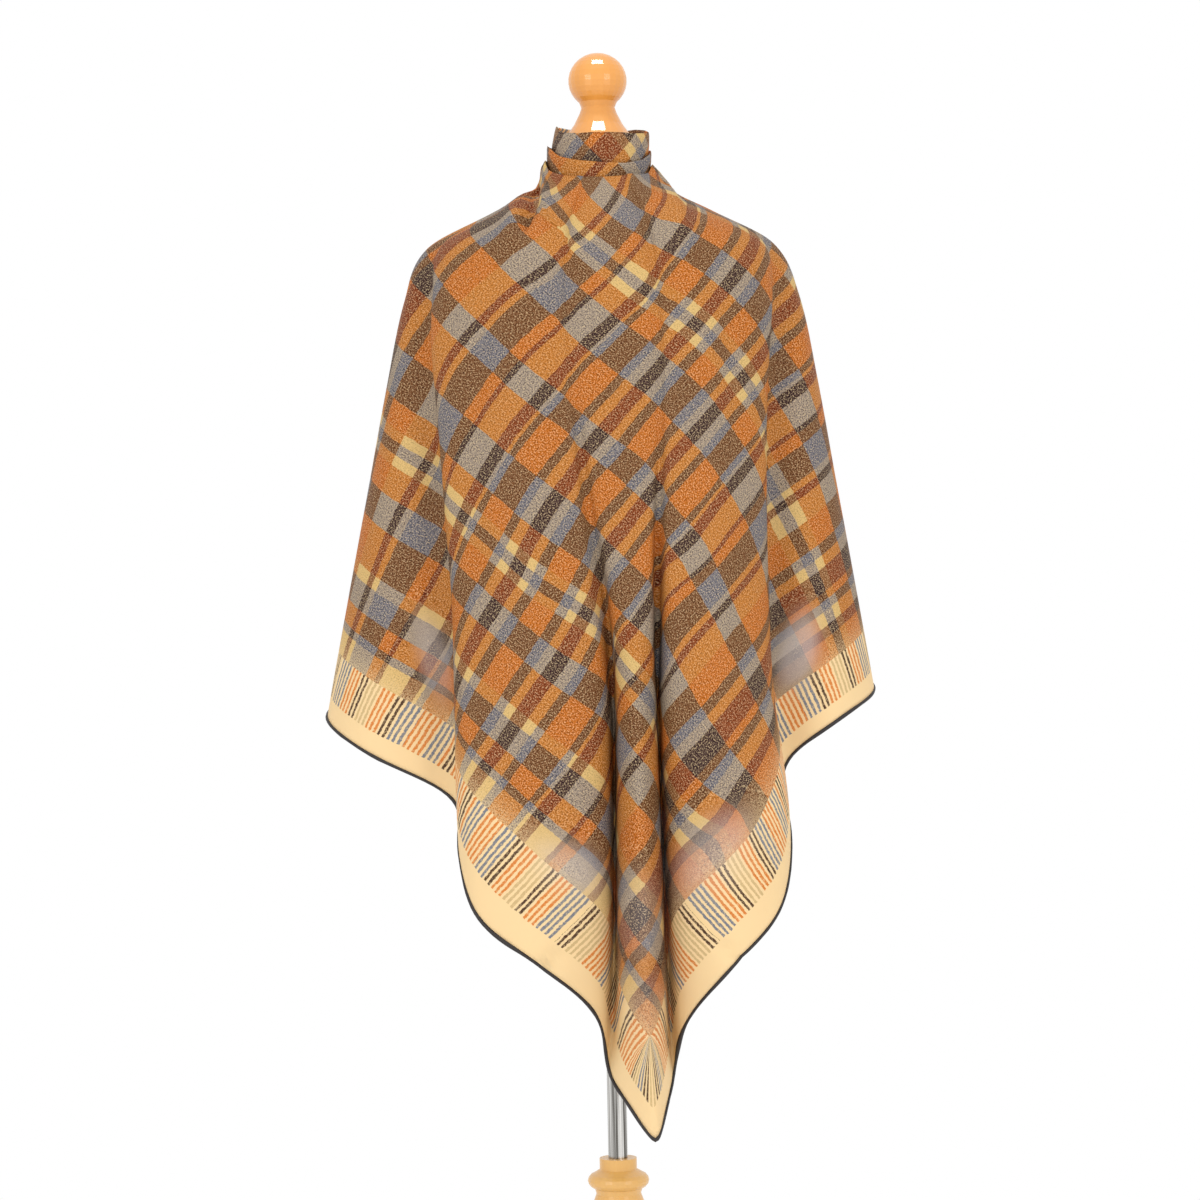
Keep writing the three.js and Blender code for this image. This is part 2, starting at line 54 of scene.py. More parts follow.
pole_low, pole_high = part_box("stand_pole")
AXIS = np.array([(pole_low[0] + pole_high[0]) / 2, (pole_low[1] + pole_high[1]) / 2, 0.0])


def place(points):
    return np.asarray(points, float) * MM + AXIS


# ---- the cape's form ----------------------------------------------------------------------------------
# z, foldL x y, bulgeL, valleyL x y, ridge x y, valleyR x y, bulgeR, foldR x y
FRONT = np.array([
    [1412, -58, -14, 10, -16, -56, 6, -58, 28, -53, 9, 56, -14],
    [1402, -65, -14, 12, -18, -61, 6, -63, 31, -59, 11, 70, -13],
    [1380, -108, -22, 20, -24, -72, 8, -75, 40, -71, 18, 112, -20],
    [1345, -168, -33, 27, -34, -92, 9, -95, 50, -90, 26, 170, -32],
    [1290, -178, -58, 25, -36, -114, 11, -116, 56, -112, 24, 180, -56],
    [1230, -180, -76, 23, -34, -127, 13, -129, 58, -126, 22, 176, -72],
    [1150, -174, -86, 24, -28, -132, 17, -135, 58, -131, 24, 171, -80],
    [1060, -169, -94, 30, -16, -133, 22, -142, 54, -132, 33, 169, -88],
    [960, -163, -102, 38, -1, -127, 26, -157, 51, -126, 44, 169, -96],
    [860, -162, -114, 50, 4, -117, 28, -170, 50, -115, 60, 172, -106],
    [745, -161, -130, 62, 3, -108, 29, -182, 52, -105, 74, 185, -118],
    [640, -156, -140, 64, 1, -105, 31, -185, 54, -101, 76, 184, -130],
    [540, -150, -146, 58, -3, -110, 33, -185, 57, -106, 68, 180, -140],
    [470, -145, -150, 48, -8, -129, 36, -183, 59, -123, 56, 176, -145],
    [400, -140, -154, 38, -12, -144, 39, -181, 62, -138, 44, 172, -150],
], float)
FOLD, BULGE, VALLEY, RIDGE = {-1: 1, 1: 11}, {-1: 3, 1: 10}, {-1: 4, 1: 8}, 6  # first column of each
# Each lobe's own strands: the share of the way from its valley to its side fold, and of the bulge where the
# lobe is shallow and where it is deep.
LOBE = {"inner": (0.07, 0.42, 0.74), "crest": (0.5, 1.0, 1.0), "outer": (0.89, 0.55, 0.55)}
# The flute's own strands, as shares of the way from its valley to its ridge: sideways, forwards.
FLANK = (0.2, 0.66)
EASED = (620, 450)  # between these heights the slots beside the flute open out towards the hem

# z, tuck, then x y of mid, out, blade, back and slit on the left, and the right side's width
SIDE = np.array([
    [1402, 6, -72, -5, -73, 5, -62, 34, -42, 53, -23, 63, 1.06],
    [1380, 8, -117, -5, -119, 5, -100, 34, -69, 60, -42, 72, 1.01],
    [1345, 12, -181, -9, -187, 8, -162, 52, -104, 83, -62, 93, 0.99],
    [1290, 18, -204, -22, -212, 6, -192, 62, -126, 100, -82, 109, 1.0],
    [1200, 27, -217, -38, -233, 4, -214, 72, -148, 113, -100, 122, 0.99],
    [1090, 32, -227, -50, -255, 0, -236, 78, -170, 123, -115, 134, 0.975],
    [960, 34, -239, -60, -281, -6, -258, 80, -192, 132, -131, 148, 0.96],
    [850, 38, -250, -72, -302, -14, -278, 84, -211, 139, -146, 158, 0.95],
    [750, 42, -258, -80, -318, -20, -292, 86, -226, 143, -160, 164, 0.95],
], float)
SIDE_COLUMN = {"mid": 2, "out": 4, "blade": 6, "back": 8, "slit": 10}
NECK_ANGLES = {"tuck": 80, "mid": 86, "out": 95, "blade": 122, "back": 146, "slit": 166}
NECK_RING = (58, 60)

# strand, heights at the neck on the left and on the right, heights at the hem on the left and on the right
STRANDS = [
    ("slit", 1438, 1432, 850, 866), ("back", 1438, 1431, 862, 878), ("blade", 1438, 1430, 862, 880),
    ("out", 1437, 1430, 842, 862), ("mid", 1436, 1429, 806, 832), ("tuck", 1435, 1429, 757, 787),
    ("fold", 1433, 1427, 706, 712), ("outer", 1423, 1419, 640, 641), ("crest", 1415, 1415, 593, 588),
    ("inner", 1412, 1414, 536, 526), ("valley", 1411, 1413, 474, 470), ("flank", 1411, 1412, 449, 444),
    ("ridge", 1411, 1411, 414, 414),
]
# The square's corner hangs this much lower than the round of the flute, within so many columns.
TIP = (3.5, 4.0)


def along(heights, values, z):
    """A smooth curve through values at falling heights, read at the heights z."""
    h, v = np.asarray(heights, float)[::-1], np.asarray(values, float)[::-1]
    slopes = np.empty_like(v)
    slopes[1:-1] = (v[2:] - v[:-2]) / (h[2:] - h[:-2])
    slopes[0], slopes[-1] = (v[1] - v[0]) / (h[1] - h[0]), (v[-1] - v[-2]) / (h[-1] - h[-2])
    i = np.clip(np.searchsorted(h, z) - 1, 0, len(h) - 2)
    span, rise = h[i + 1] - h[i], v[i + 1] - v[i]
    t = (z - h[i]) / span
    start, end = span * slopes[i], span * slopes[i + 1]
    return v[i] + t * (start * (1 - t) ** 2 + rise * t * (3 - 2 * t) - end * t * (1 - t))


def strand(kind, top, hem, sign, shares):
    """Points of one strand, the given shares of the way from its top to its hem."""
    if kind in SIDE_COLUMN or kind == "tuck":
        angle = math.radians(NECK_ANGLES[kind])
        z = SIDE[:, 0]
        if kind == "tuck":
            fold = [along(FRONT[:, 0], FRONT[:, FOLD[sign] + axis], z) for axis in (0, 1)]
            x, y = fold[0] + sign * 2, fold[1] + SIDE[:, 1]
        else:
            column = SIDE_COLUMN[kind]
            x = SIDE[:, column] if sign < 0 else -SIDE[:, column] * SIDE[:, 12]
            y = SIDE[:, column + 1]
        z = np.concatenate([[top], z])
        x = np.concatenate([[sign * NECK_RING[0] * math.sin(angle)], x])
        y = np.concatenate([[-NECK_RING[1] * math.cos(angle)], y])
    else:
        z = FRONT[:, 0].copy()
        z[0] = top
        open_out = np.clip((EASED[0] - z) / (EASED[0] - EASED[1]), 0, 1)
        valley, fold = FRONT[:, VALLEY[sign]:][:, :2], FRONT[:, FOLD[sign]:][:, :2]
        if kind in LOBE:
            share, shallow, deep = LOBE[kind]
            bulge = FRONT[:, BULGE[sign]]
            swell = np.interp(bulge, [28, 62], [shallow, deep])
            if kind == "inner":
                share, swell = share + 0.07 * open_out, swell - 0.2 * open_out
            share = np.broadcast_to(share, bulge.shape)[:, None]
            x, y = ((1 - share) * valley + share * fold).T
            y = y - bulge * swell
        elif kind == "flank":
            sideways, forwards = FLANK[0] + 0.22 * open_out, FLANK[1] - 0.14 * open_out
            x = (1 - sideways) * valley[:, 0] + sideways * FRONT[:, RIDGE]
            y = (1 - forwards) * valley[:, 1] + forwards * FRONT[:, RIDGE + 1]
        else:
            first = {"fold": FOLD[sign], "valley": VALLEY[sign], "ridge": RIDGE}[kind]
            x, y = FRONT[:, first], FRONT[:, first + 1]
    height = top + (hem - top) * shares
    return np.stack([along(z, x, height), along(z, y, height), height], axis=1)


def across(strands, places):
    """A row's points at places between its strands, on a smooth curve through them."""
    count = len(strands)
    padded = np.concatenate([[2 * strands[0] - strands[1]], strands, [2 * strands[-1] - strands[-2]]])
    out = []
    for at in places:
        i = min(int(at), count - 2)
        t = at - i
        p0, p1, p2, p3 = padded[i:i + 4]
        d0, d1, d2 = (np.sqrt(np.linalg.norm(b - a, axis=-1, keepdims=True)) + 1e-6
                      for a, b in ((p0, p1), (p1, p2), (p2, p3)))
        start = ((p1 - p0) / d0 - (p2 - p0) / (d0 + d1) + (p2 - p1) / d1) * d1
        end = ((p2 - p1) / d1 - (p3 - p1) / (d1 + d2) + (p3 - p2) / d2) * d1
        out.append(p1 + start * t + (3 * (p2 - p1) - 2 * start - end) * t ** 2
                   + (2 * (p1 - p2) + start + end) * t ** 3)
    return np.stack(out, axis=1)


def run_length(points):
    steps = np.linalg.norm(np.diff(points, axis=0), axis=1)
    return np.concatenate([[0.0], np.cumsum(steps)])


# Creases of the front. Each runs through its points (x, z) and fades at its ends; its profile has its own
# half-width on the left and on the right of that run, seen from the front, and a ridge's depth is negative.
CREASES = [
    ([(-59, 1430), (-60, 1404), (-60, 1388), (-57, 1370), (-50, 1357), (-39, 1340), (-26, 1320)], 3, 14, -7),
    ([(-65, 1404), (-68, 1394), (-71, 1384), (-75, 1371), (-82, 1352)], 4, 3.5, 15),
    ([(-72, 1410), (-81, 1393), (-88, 1376), (-93, 1354), (-90, 1322)], 13, 5, -7),
    ([(62, 1424), (73, 1402), (85, 1374), (90, 1352), (92, 1322)], 16, 4, -6),
    ([(48, 1392), (60, 1366), (76, 1330), (84, 1290)], 9, 9, 2.5),
    ([(-40, 1390), (-22, 1352), (-4, 1312), (8, 1268)], 8, 10, 2),
    ([(-100, 1330), (-122, 1268), (-132, 1190), (-136, 1110)], 12, 12, 3),
    ([(112, 1318), (130, 1250), (136, 1180), (134, 1100)], 10, 12, 3),
    ([(-28, 1160), (-22, 1080), (-14, 1000), (-3, 930), (2, 860)], 6, 5, 3),
    ([(60, 1120), (55, 1040), (52, 960), (51, 880)], 5, 6, 3),
    ([(-120, 860), (-108, 780), (-92, 700)], 14, 14, 3),
    ([(128, 840), (120, 760), (112, 690)], 12, 14, 3),
    ([(-90, 578), (-80, 586), (-66, 597), (-52, 606)], 5, 6, 5),
    ([(100, 616), (112, 608), (125, 601), (142, 592)], 6, 5, 4),
    ([(-58, 1300), (-50, 1250), (-44, 1200), (-42, 1150)], 8, 7, 2.5),
    ([(-150, 1020), (-120, 960), (-80, 905), (-50, 870)], 9, 12, 2),
    ([(150, 1000), (132, 930), (104, 868), (84, 830)], 12, 9, 2),
]


# The same for the back, x and z as before.
BACK_CREASES = [
    ([(-70, 1330), (-120, 1230), (-158, 1110), (-176, 980)], 12, 14, 5),
    ([(-170, 1290), (-215, 1180), (-240, 1060), (-252, 940)], 14, 12, 4),
    ([(60, 1340), (112, 1240), (146, 1120), (160, 990), (170, 900)], 13, 11, 4.5),
    ([(190, 1250), (222, 1140), (240, 1010)], 12, 15, 4),
]


def creased(grid):
    """The grid with its creases pressed in along its own normals, each fading towards its ends."""
    down, beside = np.gradient(grid, axis=0), np.gradient(grid, axis=1)
    normal = np.cross(down, beside)
    normal /= np.linalg.norm(normal, axis=-1, keepdims=True) + 1e-9
    depth = np.zeros(grid.shape[:2])
    at = grid[:, :, ::2]
    front, back = grid[:, :, 1] < 20, grid[:, :, 1] > 40
    rows = [(*row, front) for row in CREASES] + [(*row, back) for row in BACK_CREASES]
    for points, left, right, deep, area in rows:
        path = np.array(points, float)
        length = run_length(path)
        nearest, share, side = np.full(depth.shape, 1e9), np.zeros(depth.shape), np.zeros(depth.shape)
        for k in range(len(path) - 1):
            run = path[k + 1] - path[k]
            t = np.clip((at - path[k]) @ run / (run @ run), 0, 1)
            off = at - path[k] - t[..., None] * run
            away = np.linalg.norm(off, axis=-1)
            closer = away < nearest
            nearest = np.where(closer, away, nearest)
            share = np.where(closer, (length[k] + t * (length[k + 1] - length[k])) / length[-1], share)
            side = np.where(closer, off[..., 0], side)
        width = np.where(side < 0, left, right)
        fade = np.sin(np.pi * np.clip(0.06 + 0.88 * share, 0, 1)) ** 0.7
        depth += deep * np.exp(-(nearest / width) ** 2) * fade * area
    hold = np.clip(np.arange(grid.shape[0]) / 4, 0, 1)[:, None]
    return grid - normal * (depth * hold)[..., None]


def cape_grid():
    shares = (np.arange(ROWS + 1) / ROWS) ** 1.2
    left = [strand(kind, top, hem, -1, shares) for kind, top, _, hem, _ in STRANDS]
    right = [strand(kind, top, hem, 1, shares) for kind, _, top, _, hem in STRANDS[:-1]]
    strands = np.stack(left + right[::-1])
    grid = across(strands, np.arange((len(strands) - 1) * COLUMNS + 1) / COLUMNS)
    for _ in range(6):  # rounds off what is left of the strands' own corners
        grid[:, 1:-1] = 0.25 * grid[:, :-2] + 0.5 * grid[:, 1:-1] + 0.25 * grid[:, 2:]
    columns = np.abs(np.arange(grid.shape[1]) - grid.shape[1] // 2)
    grid[:, :, 2] -= TIP[0] * np.exp(-columns / TIP[1]) * (shares ** 8)[:, None]
    return grid


# ---- where each point of the cape lies in the flat square ---------------------------------------------
# A few crossings of bars on the front: x and z where they hang, then u and v in the square.
CROSSINGS = np.array([
    [-60, 1300, 692, 577],
    [45, 1280, 596, 645],
    [-65, 1170, 596, 480],
    [30, 1105, 480, 480],
    [95, 1015, 364, 480],
    [-90, 985, 522, 315],
    [60, 885, 297, 383],
    [-55, 885, 438, 247],
    [110, 740, 123.5, 315],
], float)


FLAT_STEP = 4  # the flat layout is worked out on every fourth row and column
FLAT_ROUNDS = 60
NECK_SPREAD = 236  # where the neck's edge ends at each side, from the square's diagonal
NECK_EDGE = (1017, 105)  # its distance from the corner along that diagonal, and how much more at its ends


def flat_places(grid):
    """(u, v) of every point: its distances from the right and the left hem, by laying the cloth out flat."""
    rows = np.unique(np.append(np.arange(0, grid.shape[0], FLAT_STEP), grid.shape[0] - 1))
    columns = np.unique(np.append(np.arange(0, grid.shape[1], FLAT_STEP), grid.shape[1] - 1))
    coarse = grid[np.ix_(rows, columns)]
    n, m = coarse.shape[:2]
    tip = m // 2
    flat = np.zeros((n, m, 2))
    # the hem and the free edges of the back are straight sides of the square
    left = run_length(coarse[-1, :tip + 1][::-1])[::-1]
    right = run_length(coarse[-1, tip:])
    flat[-1, :tip + 1, 0] = left / left[0] * SIDE_LENGTH
    flat[-1, tip:, 1] = right / right[-1] * SIDE_LENGTH
    for column, fixed, free in ((0, 0, 1), (m - 1, 1, 0)):
        climb = run_length(coarse[:, column][::-1])[::-1]
        flat[:, column, fixed] = SIDE_LENGTH
        flat[:, column, free] = climb
    # a first guess between the hem and the neck
    for j in range(1, m - 1):
        turn = (j - tip) / tip
        w, d = NECK_SPREAD * turn, NECK_EDGE[0] + NECK_EDGE[1] * turn ** 2
        top = np.array([(d - w) / math.sqrt(2), (d + w) / math.sqrt(2)])
        down = run_length(coarse[:, j])
        share = (down / down[-1])[:, None]
        flat[:, j] = top + (flat[-1, j] - top) * share
    fixed = np.zeros((n, m), bool)
    fixed[-1] = fixed[:, 0] = fixed[:, -1] = True

    number = np.arange(n * m).reshape(n, m)
    a, b = number[:-1, :-1].ravel(), number[1:, :-1].ravel()
    c, d = number[1:, 1:].ravel(), number[:-1, 1:].ravel()
    corners = np.concatenate([np.stack([a, b, c], 1), np.stack([a, c, d], 1)])
    points, uv, held = coarse.reshape(-1, 3), flat.reshape(-1, 2), fixed.ravel()
    p = points[corners]
    e1, e2 = p[:, 1] - p[:, 0], p[:, 2] - p[:, 0]
    long = np.linalg.norm(e1, axis=1)
    cross = np.cross(e1, e2)
    area2 = np.linalg.norm(cross, axis=1)
    x2 = np.einsum("ij,ij->i", e1, e2) / long
    local = np.zeros((len(corners), 3, 2))
    local[:, 1, 0], local[:, 2, 0], local[:, 2, 1] = long, x2, area2 / long
    laplace = np.zeros((n * m, n * m))
    weights, pins = [], []
    for k in range(3):
        i, j, o = k, (k + 1) % 3, (k + 2) % 3
        to_i, to_j = p[:, i] - p[:, o], p[:, j] - p[:, o]
        cot = np.clip(np.einsum("ij,ij->i", to_i, to_j) / area2, 0.02, 20)
        weights.append(cot)
        for s, t in ((i, j), (j, i)):
            np.add.at(laplace, (corners[:, s], corners[:, s]), cot)
            np.add.at(laplace, (corners[:, s], corners[:, t]), -cot)
    front, quarter = coarse.copy(), m // 4
    front[:, :quarter] += 1e4  # far off, so that a crossing is only met on the front's own columns
    front[:, -quarter:] += 1e4
    for x, z, at_u, at_v in CROSSINGS:
        k = np.argmin((front[:, :, 0].ravel() - x) ** 2 + (front[:, :, 2].ravel() - z) ** 2)
        laplace[k, k] += HOLD
        pins.append((k, np.array([at_u, at_v]), np.array([x, z])))
    free = ~held
    solve = np.linalg.inv(laplace[np.ix_(free, free)])
    pull = laplace[np.ix_(free, held)]
    q = uv[corners]
    if np.median(np.cross(q[:, 1] - q[:, 0], q[:, 2] - q[:, 0])) < 0:
        local[:, :, 1] *= -1.0  # the square is seen mirrored

    def steps(field):
        """Changes of a field of pairs from one row, and from one column, to the next."""
        return np.stack([np.gradient(field, axis=axis) for axis in (0, 1)], axis=-1).reshape(-1, 2, 2)

    rise = steps(coarse[:, :, ::2])
    for _ in range(FLAT_ROUNDS):
        grad = steps(uv.reshape(n, m, 2))
        q = uv[corners]
        cov = np.zeros((len(corners), 2, 2))
        for k in range(3):
            i, j = k, (k + 1) % 3
            pull_apart = np.einsum("ni,nj->nij", q[:, i] - q[:, j], local[:, i] - local[:, j])
            cov += weights[k][:, None, None] * pull_apart
        angle = np.arctan2(cov[:, 1, 0] - cov[:, 0, 1], cov[:, 0, 0] + cov[:, 1, 1])
        cosine, sine = np.cos(angle), np.sin(angle)
        turn = np.stack([np.stack([cosine, -sine], 1), np.stack([sine, cosine], 1)], 1)
        want = np.zeros((n * m, 2))
        for k in range(3):
            i, j = k, (k + 1) % 3
            edge = weights[k][:, None] * np.einsum("nij,nj->ni", turn, local[:, i] - local[:, j])
            np.add.at(want, corners[:, i], edge)
            np.add.at(want, corners[:, j], -edge)
        # a crossing lies a little off its nearest point, so its place is carried over to that point
        for k, at, xz in pins:
            off = np.linalg.solve(rise[k] + 1e-6 * np.eye(2), xz - points[k, ::2])
            want[k] += HOLD * (at - grad[k] @ np.clip(off, -0.7, 0.7))
        uv[free] = solve @ (want[free] - pull @ uv[held])
    uv = uv.reshape(n, m, 2)
    # back to the fine grid
    fine = np.empty((n, grid.shape[1], 2))
    for i in range(n):
        for k in range(2):
            fine[i, :, k] = np.interp(np.arange(grid.shape[1]), columns, uv[i, :, k])
    full = np.empty(grid.shape[:2] + (2,))
    for j in range(grid.shape[1]):
        for k in range(2):
            full[:, j, k] = np.interp(np.arange(grid.shape[0]), rows, fine[:, j, k])
    for _ in range(6):
        full[1:-1] = 0.25 * full[:-2] + 0.5 * full[1:-1] + 0.25 * full[2:]
        full[:, 1:-1] = 0.25 * full[:, :-2] + 0.5 * full[:, 1:-1] + 0.25 * full[:, 2:]
    return full


# The pleat at the left of the neck, as z and x of its folded edge. The cloth in front of it keeps the lie of
# the panel's middle, so the plaid breaks at the edge.
PLEAT = [(1330, -33), (1340, -39), (1357, -50), (1370, -57), (1388, -60), (1440, -61)]


def pleated(grid, flat):
    beside = np.linalg.norm(np.diff(grid, axis=1), axis=-1)
    tip = grid.shape[1] // 2
    run = np.concatenate([np.zeros((grid.shape[0], 1)), np.cumsum(beside, axis=1)], axis=1)
    run = run - run[:, tip:tip + 1] + grid[:, tip:tip + 1, 0]
    x, y, z = np.moveaxis(grid, -1, 0)
    fit = (run > -32) & (run < 18) & (z > 1345) & (z < 1402) & (y < 0)
    basis = np.stack([np.ones(run.shape), run, z], axis=-1)
    straight = basis @ np.linalg.lstsq(basis[fit], flat[fit], rcond=None)[0]
    edge = np.interp(z, *zip(*PLEAT))
    share = np.clip((-26 - run) / 14, 0, 1) * np.clip((z - 1330) / 14, 0, 1) * (x > edge) * (y < 0)
    return flat + (straight - flat) * share[..., None]


# Painted backlight: pale patches painted where light from behind would come through the single silk: x, z,
# half-width, half-height, lean and strength.
PAINTED_BACKLIGHT = [(-184, 905, 16, 44, 0.2, 0.25), (-46, 690, 34, 30, 0.5, 0.28), (104, 700, 36, 44, -0.4, 0.3),
         (200, 905, 20, 40, -0.2, 0.5), (24, 640, 26, 46, 0.0, 0.12), (30, 540, 26, 40, 0.0, 0.12)]


# ---- meshes -------------------------------------------------------------------------------------------
def grid_mesh(name, points, flat, wrap_rows=False, wrap_columns=False):
    """A smooth mesh from a grid of points; flat, in millimetres, becomes the print's own attribute, and the
    painted backlight patches go into its third value.
    """
    n, m = points.shape[:2]
    number = np.arange(n * m).reshape(n, m)
    rows = np.arange(n if wrap_rows else n - 1)
    columns = np.arange(m if wrap_columns else m - 1)
    below, beside = (rows + 1) % n, (columns + 1) % m
    faces = np.stack([number[np.ix_(rows, columns)], number[np.ix_(below, columns)],
                      number[np.ix_(below, beside)], number[np.ix_(rows, beside)]], axis=-1).reshape(-1, 4)
    mesh = bpy.data.meshes.new(name)
    mesh.from_pydata(place(points.reshape(-1, 3)).tolist(), [], faces.tolist())
    cut = mesh.attributes.new("cut", "FLOAT_VECTOR", "POINT")
    spread = np.zeros((n * m, 3))
    spread[:, :2] = flat.reshape(-1, 2) * MM
    x, y, z = points.reshape(-1, 3).T
    # painted backlight: the pale patches are laid on the front only
    for at_x, at_z, wide, high, lean, strength in PAINTED_BACKLIGHT:
        off_x, off_z = x - at_x + lean * (z - at_z), z - at_z
        spot = strength * np.exp(-((off_x / wide) ** 2 + (off_z / high) ** 2) ** 2)
        spread[:, 2] = np.maximum(spread[:, 2], spot * (y < -20))
    cut.data.foreach_set("vector", spread.ravel())
    mesh.polygons.foreach_set("use_smooth", [True] * len(mesh.polygons))
    mesh.update()
    piece = bpy.data.objects.new(name, mesh)
    bpy.context.collection.objects.link(piece)
    return piece


def tube_grid(path, radius, sides):
    """Rings of points round a path."""
    run = np.gradient(path, axis=0)
    run /= np.linalg.norm(run, axis=1, keepdims=True)
    side = np.cross(run[0], [0.3, 0.5, 0.8])
    rings = []
    for point, direction, r in zip(path, run, np.broadcast_to(radius, len(path))):
        side = side - direction * (side @ direction)
        side /= np.linalg.norm(side)
        other = np.cross(direction, side)
        angle = np.arange(sides) * 2 * math.pi / sides
        rings.append(point + r * (np.cos(angle)[:, None] * side + np.sin(angle)[:, None] * other))
    return np.array(rings)


# ---- materials ----------------------------------------------------------------------------------------
class Paint:
    """A node material under construction."""

    def __init__(self, name):
        self.material = bpy.data.materials.new(name)
        self.material.use_nodes = True
        self.tree = self.material.node_tree
        self.tree.nodes.clear()

    def node(self, kind, settings=None, **inputs):
        made = self.tree.nodes.new("ShaderNode" + kind)
        for key, value in (settings or {}).items():
            setattr(made, key, value)
        for key, value in inputs.items():
            numbered = key[0] == "i" and key[1:].isdigit()
            socket = made.inputs[int(key[1:]) if numbered else key.replace("_", " ")]
            if isinstance(value, bpy.types.NodeSocket):
                self.tree.links.new(value, socket)
            else:
                socket.default_value = value
        return made

    def math(self, operation, *values):
        inputs = {f"i{k}": value for k, value in enumerate(values)}
        return self.node("Math", {"operation": operation}, **inputs).outputs[0]

    def mix(self, share, a, b, blend="MIX"):
        made = self.node("Mix", {"data_type": "RGBA", "blend_type": blend}, i0=share, i6=a, i7=b)
        return made.outputs[2]

    @staticmethod
    def fill(ramp, stops):
        ramp.interpolation = "CONSTANT"
        while len(ramp.elements) > 1:
            ramp.elements.remove(ramp.elements[-1])
        ramp.elements[0].position = stops[0][0]
        ramp.elements[0].color = stops[0][1]
        for position, color in stops[1:]:
            ramp.elements.new(position).color = color

    def ramp(self, value, stops):
        made = self.node("ValToRGB", i0=value)
        self.fill(made.color_ramp, stops)
        return made.outputs[0]

    def rise(self, value, start, end, low=0.0, high=1.0):
        """low at and before start, high at and after end, straight between them."""
        return self.node("MapRange", {"clamp": True}, i0=value, i1=start, i2=end, i3=low, i4=high).outputs[0]

    def noise(self, where, scale, detail=2.0, roughness=0.5):
        made = self.node("TexNoise", Vector=where, Scale=scale, Detail=detail, Roughness=roughness)
        return made.outputs[0]

    def finish(self, shader):
        self.node("OutputMaterial", Surface=shader)
        return self.material


def rgb(red, green, blue):
    """A colour from its display values, 0 to 255."""
    values = [c / 255 / 12.92 if c <= 10 else ((c / 255 + 0.055) / 1.055) ** 2.4 for c in (red, green, blue)]
    return (*values, 1.0)


CREAM = rgb(240, 212, 162)
INK = rgb(30, 22, 20)
# pale tint of the painted backlight patches
PAINTED_BACKLIGHT_TINT = rgb(220, 210, 206)
# Dyes of the bars in the order the pair table uses them: cream, orange, rust and blue-grey.
DYES = "CORB"
# Tint where two bars cross, and how strongly its grains differ from it.
PAIRS = {
    "CC": ((220, 186, 120), 0.5), "CO": ((200, 126, 50), 0.95), "CR": ((150, 98, 56), 1.1),
    "CB": ((162, 146, 130), 1.1), "OO": ((202, 112, 30), 1.1), "OR": ((142, 64, 22), 1.2),
    "OB": ((122, 76, 42), 1.15), "RR": ((112, 52, 24), 1.2), "RB": ((72, 48, 46), 1.25),
    "BB": ((120, 118, 126), 1.15),
}

# Bars of the plaid from the corner's side to the middle, each a colour and a width in millimetres.
BARS_U = [("O", 24), ("R", 12), ("C", 17), ("B", 11), ("O", 8), ("R", 26), ("C", 13), ("B", 11), ("O", 32),
          ("C", 24), ("R", 10), ("C", 6), ("B", 31), ("O", 13), ("R", 4.5), ("C", 26), ("R", 12), ("C", 3),
          ("B", 8), ("O", 27), ("B", 9.5), ("C", 10.5), ("R", 13), ("C", 10.5), ("B", 9.5), ("O", 14)]
BARS_V = [("C", 22), ("B", 8), ("O", 23), ("B", 27), ("C", 14), ("O", 45), ("B", 33), ("O", 30), ("C", 10),
          ("B", 12), ("C", 10), ("O", 25), ("B", 42), ("O", 54), ("B", 14)]
BORDER = 77.0  # from the hem to the first bar
BAND = 24.0  # plain cream from the hem to the fence
PITCH = 5.8  # between two lines of the fence
# Lines of the fence from the corner to the middle, each a colour and a number of lines.
FENCE = [("O", 4), ("K", 2), ("C", 2), ("B", 2), ("O", 2), ("K", 4), ("G", 3), ("B", 2), ("O", 5), ("G", 4),
         ("K", 2), ("C", 1), ("B", 4), ("O", 3), ("K", 2), ("G", 3), ("O", 3), ("K", 2), ("B", 3), ("O", 4),
         ("B", 3), ("O", 1), ("K", 2), ("O", 2), ("B", 1), ("O", 6)]
FENCE_TINTS = {"O": rgb(214, 130, 58), "K": rgb(84, 58, 42), "B": rgb(122, 126, 136), "G": rgb(206, 178, 128),
               "C": rgb(240, 212, 158)}


def stops(bars, tints, start, total, scale=1.0):
    out, at = [], start
    for key, width in bars:
        out.append((at / total, tints[key]))
        at += width * scale
    return out


